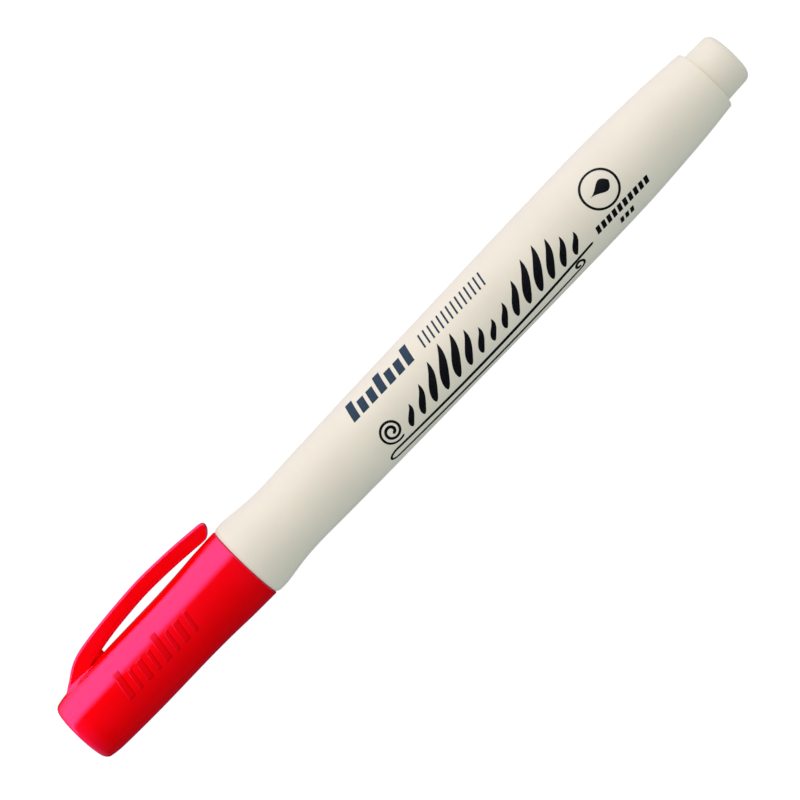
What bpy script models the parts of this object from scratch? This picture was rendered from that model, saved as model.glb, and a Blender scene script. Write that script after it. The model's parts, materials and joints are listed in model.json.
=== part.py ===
"""Brush pen: a capped, fibre-reservoir pen with a flexible brush tip, lying on its side.

+X runs along the pen's axis from the cap's closed end (x = 0) to the rear plug, +Y points to the
clip, and +Z is up. Dimensions below are in millimetres; meshes are made in metres.
"""

import math

import bmesh
import bpy
from mathutils import Matrix, Vector

MM = 0.001

# Lengths along the axis that drive the rest
PEN_LENGTH = 140.0
CAP_LENGTH = 35.3
PLUG_SHOWS = 5.3
NECK_FRONT = 22.5
HOLDER_MOUTH = 15.0
BRUSH_POINT = 6.3
BRUSH_PIVOT_X = 14.6

# Gaps: the seam round the cap's mouth, shoulders that close, and pieces pushed into each other
SEAM_GAP = 0.3
SHOULDER_GAP = 0.1
PUSH_GAP = 0.06
RIB_GAP = 0.05

# Outer skins as (x, radius) stations on a smooth curve
CAP_CORNER = 1.1
CAP_SKIN = [
    (1.1, 5.55), (2.4, 5.75), (6.0, 5.92), (12.0, 6.05), (22.0, 6.07), (27.0, 6.2), (30.5, 6.38), (35.15, 6.5),
]  # fmt: skip
BARREL_SKIN = [
    (36.0, 6.61), (37.5, 6.64), (39.4, 6.43), (42.0, 6.12), (45.6, 5.99), (50.0, 6.08), (61.0, 6.27),
    (80.0, 6.47), (95.0, 6.62), (108.0, 6.67), (116.0, 6.6), (121.7, 6.38), (128.9, 5.98), (134.4, 5.48),
]  # fmt: skip

# Cap shell: bore stations, end wall, vents round a solid centre, and the bead that snaps on the neck
CAP_BORE = [(3.0, 4.95), (23.0, 5.0), (29.0, 5.26), (33.2, 5.42)]
CAP_END_WALL = 1.4
VENT_INNER = 2.7
VENT_OUTER = 3.4
VENT_SWEEP_DEG = 70
SNAP_BEAD_X = 34.0
SNAP_BEAD_RADIUS = 5.22

# Inner cap
LINER_END = 2.0
LINER_MOUTH = 21.0
LINER_RADIUS = 4.5
LINER_BORE = 3.82
LINER_END_WALL = 0.9

# Barrel and rear plug
NECK_RADIUS = 4.85
NECK_BORE = 3.92
SNAP_RING_X = 32.4
SNAP_RING_RADIUS = 5.14
BARREL_BORE = 4.42
PLUG_BORE = 4.56
PLUG_RADIUS = 4.6
PLUG_CORNER = 1.25
PLUG_FRONT = 122.2
PLUG_WALL = 0.9
PLUG_END_WALL = 1.4

# Brush holder, brush head and its retaining sleeve
COLLAR_RADIUS = 3.7
HOLDER_TAIL_END = 35.6
HOLDER_TAIL_BORE = 2.95
BRUSH_RADIUS = 1.69
BRUSH_BALL = 1.62
BRUSH_BELLY = [(6.45, 0.2), (8.0, 0.95), (10.2, 1.62), (12.2, 1.86), (13.6, 1.76)]
FLANGE_SEAT = 22.0
FLANGE_RADIUS = 2.45
FLANGE_LENGTH = 0.9
SLEEVE_LENGTH = 4.0

# Ink system
WICK_RADIUS = 1.0
WICK_FRONT = 17.6
WICK_REAR = 46.0
RESERVOIR_RADIUS = 4.0
RESERVOIR_FRONT = 36.6
RESERVOIR_REAR = 121.6
FILM_WALL = 0.1

# Clip: the blade's outer and inner edges as (x, y) stations, its tip, and the pivot its root flexes on
CLIP_WIDTH = 3.0
CLIP_EDGE_ROUND = 0.3
CLIP_OUTER = [
    (3.0, 5.85), (4.6, 6.8), (5.8, 7.6), (7.0, 8.22), (8.6, 8.73), (10.6, 9.06), (15.3, 9.5), (22.4, 9.83),
    (29.6, 9.47), (34.6, 8.95),
]  # fmt: skip
CLIP_INNER = [(6.6, 5.75), (11.6, 6.55), (14.1, 6.9), (21.4, 7.38), (28.4, 7.08), (33.2, 6.62)]
CLIP_TIP = [(35.2, 8.75), (35.35, 8.4), (35.1, 7.7), (34.5, 7.05), (33.85, 6.68)]
CLIP_PIVOT = (11.6, 7.85)
KNUCKLE_RADIUS = 1.22
SOCKET_RADIUS = 1.34
WEB_WIDTH = 1.8
WEB_END = 11.2
ROOT_DEPTH = 5.3

OUTER_FACETS = 40
INNER_FACETS = 28


# ---------------------------------------------------------------- outlines


def smooth(stations, x_from=-math.inf, x_to=math.inf, per_span=2):
    """Points on a smooth curve through the (x, y) stations, per_span of them from each station to the next."""
    xs = [x for x, _ in stations]
    ys = [y for _, y in stations]
    last = len(stations) - 1
    slopes = []
    for i in range(last + 1):
        before, after = max(i - 1, 0), min(i + 1, last)
        slopes.append((ys[after] - ys[before]) / (xs[after] - xs[before]))
    start, end = max(x_from, xs[0]), min(x_to, xs[-1])
    breaks = [start, *(x for x in xs if start < x < end), end]
    wanted = [a + (b - a) * k / per_span for a, b in zip(breaks, breaks[1:]) for k in range(per_span)]
    points = []
    for x in [*wanted, end]:
        i = max(j for j in range(last) if xs[j] <= x)
        width = xs[i + 1] - xs[i]
        t = (x - xs[i]) / width
        y = (
            ys[i] * (1 + 2 * t) * (1 - t) ** 2
            + slopes[i] * width * t * (1 - t) ** 2
            + ys[i + 1] * t * t * (3 - 2 * t)
            + slopes[i + 1] * width * t * t * (t - 1)
        )
        points.append((x, y))
    return points


def arc(centre, radius, start_deg, end_deg, steps):
    """Points on an arc, angles measured from +X towards +Y."""
    points = []
    for k in range(steps + 1):
        angle = math.radians(start_deg + (end_deg - start_deg) * k / steps)
        points.append((centre[0] + radius * math.cos(angle), centre[1] + radius * math.sin(angle)))
    return points


# ---------------------------------------------------------------- solids


def new_object(name, bm, material=None):
    """Turns a finished bmesh into an object in the scene."""
    bmesh.ops.recalc_face_normals(bm, faces=bm.faces)
    mesh = bpy.data.meshes.new(name)
    bm.to_mesh(mesh)
    bm.free()
    obj = bpy.data.objects.new(name, mesh)
    bpy.context.scene.collection.objects.link(obj)
    if material:
        mesh.materials.append(material)
        mesh.shade_smooth()
        mesh.set_sharp_from_angle(angle=math.radians(30))
    return obj


def turned(name, outline, facets, material):
    """A solid turned about the pen's axis from an outline of (x, radius) points.

    An outline that starts and ends on the axis closes there; any other is closed into a ring.
    """
    bm = bmesh.new()
    verts = [bm.verts.new((x * MM, radius * MM, 0)) for x, radius in outline]
    edges = [bm.edges.new(pair) for pair in zip(verts, verts[1:])]
    if outline[0][1] > 0:
        edges.append(bm.edges.new((verts[-1], verts[0])))
    bmesh.ops.spin(
        bm, geom=verts + edges, cent=(0, 0, 0), axis=(1, 0, 0), angle=math.tau, steps=facets, use_merge=True
    )
    bmesh.ops.remove_doubles(bm, verts=bm.verts, dist=1e-7)
    return new_object(name, bm, material)


def extruded(name, corners, vector, material=None):
    """A flat face with the given corners (x, y, z), extruded along a vector."""
    bm = bmesh.new()
    face = bm.faces.new([bm.verts.new(Vector(corner) * MM) for corner in corners])
    grown = bmesh.ops.extrude_face_region(bm, geom=[face])
    moved = [item for item in grown["geom"] if isinstance(item, bmesh.types.BMVert)]
    bmesh.ops.translate(bm, verts=moved, vec=Vector(vector) * MM)
    return new_object(name, bm, material)


def plate(name, outline, width, material=None):
    """A flat (x, y) outline given a width along Z, centred on the pen's mid plane."""
    return extruded(name, [(x, y, -width / 2) for x, y in outline], (0, 0, width), material)


def spoke(name, x_range, radii, width, turn_deg):
    """A bar along X between two radii, turned about the pen's axis."""
    low = Vector((x_range[0], radii[0], -width / 2))
    high = Vector((x_range[1], radii[1], width / 2))
    bm = bmesh.new()
    bmesh.ops.create_cube(bm, size=1.0)
    place = Matrix.Rotation(math.radians(turn_deg), 4, "X") @ Matrix.Translation((low + high) / 2 * MM)
    bmesh.ops.transform(bm, matrix=place @ Matrix.Diagonal((*((high - low) * MM), 1.0)), verts=bm.verts)
    return new_object(name, bm)


def round_bar(name, centre, radius, length):
    """A cylinder along Z through an (x, y) point."""
    bm = bmesh.new()
    bmesh.ops.create_cone(
        bm, cap_ends=True, segments=32, radius1=radius * MM, radius2=radius * MM, depth=length * MM
    )
    bmesh.ops.translate(bm, verts=bm.verts, vec=(centre[0] * MM, centre[1] * MM, 0))
    return new_object(name, bm)


def combine(obj, helper, operation):
    """Adds or cuts a helper shape, which stays in the file as a hidden guide."""
    helper.hide_render = True
    helper.display_type = "WIRE"
    modifier = obj.modifiers.new(helper.name, "BOOLEAN")
    modifier.operation = operation
    modifier.solver = "EXACT"
    modifier.object = helper


def plastic(name, colour, roughness, alpha=1.0):
    material = bpy.data.materials.new(name)
    material.use_nodes = True
    shader = material.node_tree.nodes["Principled BSDF"]
    shader.inputs["Base Color"].default_value = (*colour, 1.0)
    shader.inputs["Roughness"].default_value = roughness
    shader.inputs["Metallic"].default_value = 0.0
    shader.inputs["Alpha"].default_value = alpha
    return material


# ---------------------------------------------------------------- barrel group


def barrel(material):
    """Barrel: neck with a snap ring, grip flange, waist, long belly, and a ribbed bore open at the rear."""
    flange = CAP_LENGTH + SEAM_GAP
    rim = PEN_LENGTH - PLUG_SHOWS
    outline = [
        (NECK_FRONT, NECK_RADIUS - 0.25),
        (NECK_FRONT + 0.3, NECK_RADIUS),
        (SNAP_RING_X - 0.5, NECK_RADIUS),
        (SNAP_RING_X - 0.15, SNAP_RING_RADIUS),
        (SNAP_RING_X + 0.15, SNAP_RING_RADIUS),
        (SNAP_RING_X + 0.5, NECK_RADIUS),
        (flange, NECK_RADIUS),
        (flange, BARREL_SKIN[0][1] - 0.3),
        *smooth(BARREL_SKIN),
        (rim, BARREL_SKIN[-1][1] - 0.3),
        (rim, PLUG_BORE),
        (PLUG_FRONT - 0.4, PLUG_BORE),
        (PLUG_FRONT - 0.8, BARREL_BORE),
        (RESERVOIR_FRONT + 0.4, BARREL_BORE),
        (RESERVOIR_FRONT - 0.5, NECK_BORE),
        (NECK_FRONT, NECK_BORE),
    ]
    tube = turned("barrel", outline, OUTER_FACETS, material)
    film = RESERVOIR_RADIUS + PUSH_GAP + FILM_WALL
    for k in range(4):
        rib = spoke(
            f"barrel_rib_{k}",
            x_range=(RESERVOIR_FRONT + 6, RESERVOIR_REAR - 6),
            radii=(film + RIB_GAP, BARREL_BORE + 0.4),
            width=0.8,
            turn_deg=45 + 90 * k,
        )
        combine(tube, rib, "UNION")
    return tube


def rear_plug(material):
    """End plug: a hollow skirt pressed into the barrel and a rounded cap that shows behind it."""
    shoulder = PEN_LENGTH - PLUG_SHOWS + SHOULDER_GAP
    skirt = PLUG_BORE - PUSH_GAP
    rear_radius = PLUG_RADIUS - 0.12
    corner_centre = (PEN_LENGTH - PLUG_CORNER, rear_radius - PLUG_CORNER)
    outline = [
        (PEN_LENGTH - PLUG_END_WALL, 0.0),
        (PEN_LENGTH - PLUG_END_WALL, skirt - PLUG_WALL - 0.2),
        (PLUG_FRONT, skirt - PLUG_WALL),
        (PLUG_FRONT, skirt - 0.2),
        (PLUG_FRONT + 0.5, skirt),
        (shoulder, skirt),
        (shoulder, PLUG_RADIUS),
        *arc(corner_centre, PLUG_CORNER, 90, 0, 5),
        (PEN_LENGTH, 0.0),
    ]
    return turned("rear_plug", outline, OUTER_FACETS, material)


def front_section(material):
    """Brush holder: nose cone, seal collar and shoulder, with a tail pressed into the barrel's neck."""
    collar_front = HOLDER_MOUTH + 2.7
    shoulder_front = NECK_FRONT - 0.9
    shoulder_rear = NECK_FRONT - SHOULDER_GAP
    shoulder = NECK_RADIUS - 0.15
    tail = NECK_BORE - PUSH_GAP
    bore = BRUSH_RADIUS + PUSH_GAP
    outline = [
        (HOLDER_MOUTH, bore + 0.2),
        (HOLDER_MOUTH, 2.3),
        (HOLDER_MOUTH + 0.2, 2.45),
        (collar_front - 0.3, COLLAR_RADIUS - 0.4),
        (collar_front, COLLAR_RADIUS),
        (shoulder_front, COLLAR_RADIUS),
        (shoulder_front, shoulder - 0.2),
        (shoulder_front + 0.2, shoulder),
        (shoulder_rear, shoulder),
        (shoulder_rear, tail),
        (HOLDER_TAIL_END - 0.5, tail),
        (HOLDER_TAIL_END, tail - 0.3),
        (HOLDER_TAIL_END, HOLDER_TAIL_BORE),
        (FLANGE_SEAT, HOLDER_TAIL_BORE),
        (FLANGE_SEAT, bore),
        (HOLDER_MOUTH + 0.25, bore),
    ]
    return turned("front_section", outline, INNER_FACETS, material)


def brush_root(material):
    """The part of the brush head that the holder grips: a stem with a seat flange, bored for the wick."""
    stem_front = BRUSH_PIVOT_X + BRUSH_BALL + 0.15
    flange_front = FLANGE_SEAT + PUSH_GAP
    flange_rear = flange_front + FLANGE_LENGTH
    bore = WICK_RADIUS + PUSH_GAP
    bore_end = WICK_FRONT - 0.15
    outline = [
        (stem_front, 0.0),
        (stem_front, BRUSH_RADIUS),
        (flange_front, BRUSH_RADIUS),
        (flange_front, FLANGE_RADIUS),
        (flange_rear, FLANGE_RADIUS),
        (flange_rear, bore),
        (bore_end, bore),
        (bore_end, 0.0),
    ]
    return turned("brush_root", outline, INNER_FACETS, material)


def brush_tip(material):
    """The bending brush: a ball at its root for the flex pivot, a full belly and a fine point."""
    outline = [
        (BRUSH_POINT, 0.0),
        *smooth(BRUSH_BELLY),
        *arc((BRUSH_PIVOT_X, 0.0), BRUSH_BALL, 96, 14, 6),
        (BRUSH_PIVOT_X + BRUSH_BALL, 0.0),
    ]
    return turned("brush_tip", outline, INNER_FACETS, material)


def nib_retainer(material):
    """Sleeve that holds the brush's flange on its seat, notched so that air can pass the ink."""
    front = FLANGE_SEAT + FLANGE_LENGTH + 2 * PUSH_GAP + 0.03
    rear = front + SLEEVE_LENGTH
    outer = HOLDER_TAIL_BORE - PUSH_GAP
    bore = WICK_RADIUS + 3 * PUSH_GAP
    outline = [(front, bore), (front, outer - 0.2), (front + 0.3, outer), (rear, outer), (rear, bore)]
    sleeve = turned("nib_retainer", outline, INNER_FACETS, material)
    for k in range(3):
        notch = spoke(f"air_notch_{k}", (front - 1, rear + 1), (outer - 0.6, outer + 1), 1.0, 120 * k)
        combine(sleeve, notch, "DIFFERENCE")
    return sleeve


def relay_wick(material):
    """Feed rod that carries ink from the reservoir into the brush head."""
    outline = [
        (WICK_FRONT, 0.0),
        (WICK_FRONT, WICK_RADIUS - 0.3),
        (WICK_FRONT + 0.5, WICK_RADIUS),
        (WICK_REAR - 0.5, WICK_RADIUS),
        (WICK_REAR, WICK_RADIUS - 0.3),
        (WICK_REAR, 0.0),
    ]
    return turned("relay_wick", outline, INNER_FACETS, material)


def ink_reservoir(material):
    """Bundle of ink-holding fibre, bored at the front where the wick pushes in."""
    bore = WICK_RADIUS + PUSH_GAP
    bore_end = WICK_REAR + 0.2
    outline = [
        (bore_end, 0.0),
        (bore_end, bore),
        (RESERVOIR_FRONT, bore),
        (RESERVOIR_FRONT, RESERVOIR_RADIUS),
        (RESERVOIR_REAR, RESERVOIR_RADIUS),
        (RESERVOIR_REAR, 0.0),
    ]
    return turned("ink_reservoir", outline, INNER_FACETS, material)


def reservoir_film(material):
    """Clear film wrapped round the reservoir."""
    bore = RESERVOIR_RADIUS + PUSH_GAP
    outline = [
        (RESERVOIR_FRONT, bore),
        (RESERVOIR_FRONT, bore + FILM_WALL),
        (RESERVOIR_REAR, bore + FILM_WALL),
        (RESERVOIR_REAR, bore),
    ]
    return turned("reservoir_film", outline, INNER_FACETS, material)


# ---------------------------------------------------------------- cap group


def inner_cap(material):
    """Liner that seals round the holder's collar and keeps the brush wet."""
    floor = LINER_END + LINER_END_WALL
    outline = [
        (LINER_END, 0.0),
        (LINER_END, LINER_RADIUS - 0.5),
        (LINER_END + 0.5, LINER_RADIUS),
        (LINER_MOUTH, LINER_RADIUS),
        (LINER_MOUTH, LINER_BORE + 0.15),
        (LINER_MOUTH - 0.3, LINER_BORE),
        (floor + 0.4, LINER_BORE),
        (floor, LINER_BORE - 0.4),
        (floor, 0.0),
    ]
    return turned("inner_cap", outline, OUTER_FACETS, material)


def clip_root():
    """The fixed start of the clip: a blade-wide ramp over a narrower web, with a socket for the knuckle."""
    pivot_x = CLIP_PIVOT[0]
    ramp = [
        *smooth(CLIP_OUTER, x_to=pivot_x, per_span=1),
        *reversed(smooth(CLIP_INNER, x_to=pivot_x)),
        (CLIP_OUTER[0][0], ROOT_DEPTH),
    ]
    root = plate("clip_root", ramp, CLIP_WIDTH)
    web = [(5.0, ROOT_DEPTH), (WEB_END, ROOT_DEPTH), (WEB_END, 7.0), (8.0, 6.9), (5.0, 5.9)]
    combine(root, plate("clip_web", web, WEB_WIDTH), "UNION")
    combine(root, round_bar("knuckle_socket", CLIP_PIVOT, SOCKET_RADIUS, 2 * CLIP_WIDTH), "DIFFERENCE")
    return root


def vent_cutter(name, middle_deg):
    """A kidney-shaped slot along X through the cap's end wall."""
    first, last = middle_deg - VENT_SWEEP_DEG / 2, middle_deg + VENT_SWEEP_DEG / 2
    ring = arc((0, 0), VENT_OUTER, first, last, 6) + arc((0, 0), VENT_INNER, last, first, 6)
    return extruded(name, [(-0.5, y, z) for y, z in ring], (CAP_END_WALL + 1, 0, 0))


def cap_shell(material):
    """Cap: closed end with vents, ribs that grip the liner, a snap bead, and the clip's root."""
    corner_centre = (CAP_CORNER, CAP_SKIN[0][1] - CAP_CORNER)
    bore_front, bore_rear = CAP_BORE[0][1], CAP_BORE[-1][1]
    outline = [
        (0.0, 0.0),
        *arc(corner_centre, CAP_CORNER, 180, 115, 3),
        *smooth(CAP_SKIN),
        (CAP_LENGTH, CAP_SKIN[-1][1] - 0.15),
        (CAP_LENGTH, bore_rear + 0.2),
        (SNAP_BEAD_X + 0.6, bore_rear + 0.06),
        (SNAP_BEAD_X + 0.15, SNAP_BEAD_RADIUS),
        (SNAP_BEAD_X - 0.15, SNAP_BEAD_RADIUS),
        (SNAP_BEAD_X - 0.6, bore_rear),
        *reversed(CAP_BORE),
        (CAP_END_WALL, bore_front - 0.6),
        (CAP_END_WALL, 0.0),
    ]
    shell = turned("cap_shell", outline, OUTER_FACETS, material)
    for k in range(6):
        rib = spoke(
            f"liner_rib_{k}",
            x_range=(CAP_END_WALL - 0.3, LINER_MOUTH - 3),
            radii=(LINER_RADIUS + RIB_GAP, bore_front + 0.4),
            width=0.7,
            turn_deg=30 + 60 * k,
        )
        combine(shell, rib, "UNION")
    for k in range(3):
        combine(shell, vent_cutter(f"vent_{k}", 60 + 120 * k), "DIFFERENCE")
    combine(shell, clip_root(), "UNION")
    return shell


def clip(material):
    """Clip blade: a round knuckle in the root's socket, a bowed arm, and a rounded grip pad."""
    arm_start = CLIP_PIVOT[0] + 0.2
    outline = [
        *smooth(CLIP_OUTER, x_from=arm_start, per_span=3),
        *CLIP_TIP,
        *reversed(smooth(CLIP_INNER, x_from=arm_start)),
        *arc(CLIP_PIVOT, KNUCKLE_RADIUS, 260, 100, 10),
    ]
    blade = plate("clip", outline, CLIP_WIDTH, material)
    pivot = Vector((*CLIP_PIVOT, 0)) * MM
    blade.data.transform(Matrix.Translation(-pivot))
    blade.location = pivot
    soften = blade.modifiers.new("soften", "BEVEL")
    soften.width = CLIP_EDGE_ROUND * MM
    soften.segments = 2
    soften.limit_method = "ANGLE"
    soften.angle_limit = math.radians(50)
    return blade


# ---------------------------------------------------------------- the pen


def carry(name, x, pieces):
    """An empty on the pen's axis that carries the pieces moving together."""
    holder = bpy.data.objects.new(name, None)
    holder.location = (x * MM, 0, 0)
    bpy.context.scene.collection.objects.link(holder)
    for piece in pieces:
        piece.parent = holder
        piece.matrix_parent_inverse = Matrix.Translation(holder.location).inverted()


def main():
    for obj in list(bpy.data.objects):
        bpy.data.objects.remove(obj)

    cream = plastic("cream_plastic", (0.84, 0.79, 0.70), 0.5)
    red = plastic("red_plastic", (0.80, 0.01, 0.03), 0.25)
    natural = plastic("natural_plastic", (0.88, 0.89, 0.87), 0.4)
    brush_fibre = plastic("brush_fibre", (0.55, 0.01, 0.03), 0.7)
    ink_fibre = plastic("ink_fibre", (0.85, 0.30, 0.33), 0.9)
    clear_film = plastic("clear_film", (0.9, 0.92, 0.95), 0.1, alpha=0.35)

    barrel(cream)
    rear_plug(cream)
    front_section(cream)
    nib_retainer(natural)
    relay_wick(ink_fibre)
    ink_reservoir(ink_fibre)
    reservoir_film(clear_film)
    brush_root(brush_fibre)
    carry("brush_flex_pivot", BRUSH_PIVOT_X, [brush_tip(brush_fibre)])
    carry("cap_axis", 0.0, [inner_cap(natural), cap_shell(red), clip(red)])


main()
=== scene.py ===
"""Brush pen, finished: fine moulded skins, printed graphics, a brush of bristles, soft studio light.

Shapes are worked out in millimetres in the frame's axes (+X from the cap's closed end to the rear
plug, +Y to the clip, +Z up) and made in metres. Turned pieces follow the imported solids' own outlines.
"""

import json
import math
import random

import bmesh
import bpy
import numpy as np
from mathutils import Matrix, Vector
from mathutils.bvhtree import BVHTree


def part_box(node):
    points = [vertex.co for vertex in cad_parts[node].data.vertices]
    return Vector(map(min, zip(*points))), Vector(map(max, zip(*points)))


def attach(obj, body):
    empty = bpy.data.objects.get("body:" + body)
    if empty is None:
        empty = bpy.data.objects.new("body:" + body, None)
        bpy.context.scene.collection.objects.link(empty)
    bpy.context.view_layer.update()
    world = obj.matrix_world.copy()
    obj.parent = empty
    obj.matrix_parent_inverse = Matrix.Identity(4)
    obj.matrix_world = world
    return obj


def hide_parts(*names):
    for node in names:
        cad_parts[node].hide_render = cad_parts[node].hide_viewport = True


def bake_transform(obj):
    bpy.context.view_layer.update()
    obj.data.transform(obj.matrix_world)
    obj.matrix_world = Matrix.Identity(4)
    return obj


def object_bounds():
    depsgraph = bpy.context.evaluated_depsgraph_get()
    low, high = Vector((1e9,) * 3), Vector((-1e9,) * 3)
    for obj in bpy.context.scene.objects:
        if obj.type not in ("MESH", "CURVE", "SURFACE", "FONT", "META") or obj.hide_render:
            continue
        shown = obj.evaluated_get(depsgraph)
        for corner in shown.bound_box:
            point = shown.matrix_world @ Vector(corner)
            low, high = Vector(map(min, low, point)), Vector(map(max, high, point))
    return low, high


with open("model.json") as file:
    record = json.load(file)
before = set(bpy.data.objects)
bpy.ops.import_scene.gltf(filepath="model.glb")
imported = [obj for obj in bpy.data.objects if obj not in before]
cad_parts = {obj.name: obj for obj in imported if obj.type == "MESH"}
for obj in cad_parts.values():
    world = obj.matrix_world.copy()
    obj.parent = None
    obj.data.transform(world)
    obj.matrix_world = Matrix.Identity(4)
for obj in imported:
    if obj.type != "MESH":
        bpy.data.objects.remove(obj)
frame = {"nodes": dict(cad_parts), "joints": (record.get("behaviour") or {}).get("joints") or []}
cad_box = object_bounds()

MM = 0.001

# Closeness, in millimetres: to the axis, and of two places that share an x
TINY = 1e-4
SAME_X = 0.005
# Points nearer than this are one point, in metres
WELD = 1e-7

# Fineness of the turned pieces
SEGMENTS = 160
SPACING = 0.6
CORNER_DEG = 25
ARC_STEP_DEG = 12
# Edges sharper than this are shaded as edges
SHARP_DEG = 35
# A meridian that no vent, notch or clip crosses
CLEAR_MERIDIAN_DEG = 126

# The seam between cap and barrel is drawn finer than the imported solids' gap
RIM_REACH = 0.08
FLANGE_REACH = 0.16

# The barrel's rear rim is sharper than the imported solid's chamfer
RIM_CRISP = 0.25

# Roundness of the clip's upper and lower edges, and how many sections it is lofted through
CLIP_EDGE = 0.5
CLIP_UNDER_EDGE = 1.0
CLIP_STATIONS = 90

# Ink on the barrel and raised marks on the cap
PRINT_LIFT = 0.012
PRINT_SINK = 0.02
EMBOSS_LIFT = 0.13
EMBOSS_SINK = 0.1
EMBOSS_EDGE = 0.15

# Camera: straight above this place on the axis, turned so that the pen runs up to the right
CAMERA_X = 68.8
CAMERA_HEIGHT = 481.6
CAMERA_TURN_DEG = 46.36
CAMERA_LENS = 145.35
CAMERA_SENSOR = 36

# How much of the floor's picture is plain white, so that only a faint shadow shows, and how far it
# lies below the pen, in metres
FLOOR_GLOW = 0.85
FLOOR_GAP = 0.0001

# What glossy surfaces see: a softbox panel in two tones, a dim room, a wall past the cap's closed
# end, and a glow from below
PANEL_NEAR = (2.78, 2.84, 3.03, 1)
PANEL_FAR = (1.6, 1.15, 2.3, 1)
DIM_ROOM = (0.005, 0.001, 0.003, 1)
END_WALL = (2.6, 1.3, 2.6, 1)
UNDER_GLOW = (0.19, 0.07, 0.2, 1)

# What matte surfaces see, away from the clip's side and on it
SHADE_SIDE = (0.38, 0.455, 0.45, 1)
LIT_SIDE = (1.06, 0.99, 1.09, 1)

# The tint of the red plastic's reflections, which come out pink
RED_SHEEN = (1.0, 0.24, 1.0)

# Colours of the plastics, the fibres and the inks
CREAM = (0.915, 0.85, 0.69)
RED = (0.94, 0.0001, 0.0002)
# The raised bars on the cap are moulded of the same red; the darker red below is painted shade, not a
# different plastic
ETCHED_RED_PAINTED_SHADE = (0.76, 0.0001, 0.0002)
NATURAL = (0.83, 0.84, 0.81)
BRISTLE = (0.42, 0.004, 0.012)
BRISTLE_PALE = (0.8, 0.06, 0.08)
SOAKED = (0.75, 0.12, 0.14)
SOAKED_PALE = (0.92, 0.6, 0.6)
NAVY = (0.017, 0.04, 0.064)
BLACK = (0.003, 0.004, 0.006)


# ---------------------------------------------------------------- outlines


def meridian(node):
    """The (x, radius) outline of a turned CAD node along one clear meridian.

    A flat ring or disc of the solid has no edge of its own along a meridian, so the runs between them
    are joined where they share an x. An outline that stays open is closed by a disc at each end.
    """
    places, links = meridian_edges(node)
    runs = linked_runs(places, links)
    path = runs.pop(0)
    for _ in range(2):
        while found := [run for run in runs if level_with(places, path[-1], run)]:
            nearest = min(found, key=lambda run: radius_gap(places, path[-1], run))
            runs.remove(nearest)
            starts_level = abs(places[nearest[0]][0] - places[path[-1]][0]) < SAME_X
            path += nearest if starts_level else nearest[::-1]
        path.reverse()
    outline = [places[i] for i in path]
    ring = path[-1] in links[path[0]] or abs(outline[0][0] - outline[-1][0]) < SAME_X
    if ring:
        return outline
    closed = [(outline[0][0], 0.0), *outline, (outline[-1][0], 0.0)]
    last = len(closed) - 1
    return [spot for i, spot in enumerate(closed) if i in (0, last) or spot[1] > TINY]


def meridian_edges(node):
    """The (x, radius) places of a CAD node on one meridian, and for each the places it has an edge to."""
    bm = bmesh.new()
    bm.from_mesh(frame["nodes"][node].data)
    bmesh.ops.remove_doubles(bm, verts=bm.verts, dist=WELD)

    def radius(vert):
        return math.hypot(vert.co.y, vert.co.z) / MM

    def angle(vert):
        return math.degrees(math.atan2(vert.co.z, vert.co.y)) % 360

    rim = [vert for vert in bm.verts if radius(vert) > 0.5]
    chosen = angle(min(rim, key=lambda vert: abs(angle(vert) - CLEAR_MERIDIAN_DEG)))
    on_it = [vert for vert in bm.verts if radius(vert) < TINY or abs(angle(vert) - chosen) < 0.05]
    number = {vert: i for i, vert in enumerate(on_it)}
    places = [(vert.co.x / MM, radius(vert)) for vert in on_it]
    links = []
    for vert in on_it:
        others = [edge.other_vert(vert) for edge in vert.link_edges]
        links.append([number[other] for other in others if other in number])
    bm.free()
    return places, links


def linked_runs(places, links):
    """Runs of linked places, those with a loose end first."""
    loose = set(range(len(places)))
    runs = []
    for i in sorted(loose, key=lambda i: (len(links[i]) > 1, places[i])):
        if i not in loose:
            continue
        run = [i]
        loose.discard(i)
        while fresh := [j for j in links[run[-1]] if j in loose]:
            run.append(fresh[0])
            loose.discard(fresh[0])
        runs.append(run)
    return runs


def level_with(places, end, run):
    """Whether either end of a run lies at the same x as the given place."""
    return any(abs(places[i][0] - places[end][0]) < SAME_X for i in (run[0], run[-1]))


def radius_gap(places, end, run):
    """How far in radius the nearer end of a run is from the given place."""
    return min(abs(places[i][1] - places[end][1]) for i in (run[0], run[-1]))


def hermite(stations, spacing):
    """Points about spacing apart on a smooth curve through the given 2D stations."""
    points = [Vector(station) for station in stations]
    lengths = [(b - a).length for a, b in zip(points, points[1:])]
    secants = [(b - a) / d for a, b, d in zip(points, points[1:], lengths)]
    slopes = [secants[0]]
    for i in range(1, len(points) - 1):
        before, after = lengths[i - 1], lengths[i]
        slopes.append((secants[i - 1] * after + secants[i] * before) / (before + after))
    slopes.append(secants[-1])
    curve = []
    for i, d in enumerate(lengths):
        steps = max(1, round(d / spacing))
        for k in range(steps):
            t = k / steps
            curve.append(
                points[i] * ((1 + 2 * t) * (1 - t) ** 2)
                + slopes[i] * (d * t * (1 - t) ** 2)
                + points[i + 1] * (t * t * (3 - 2 * t))
                + slopes[i + 1] * (d * t * t * (t - 1))
            )
    return [*curve, points[-1]]


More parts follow.
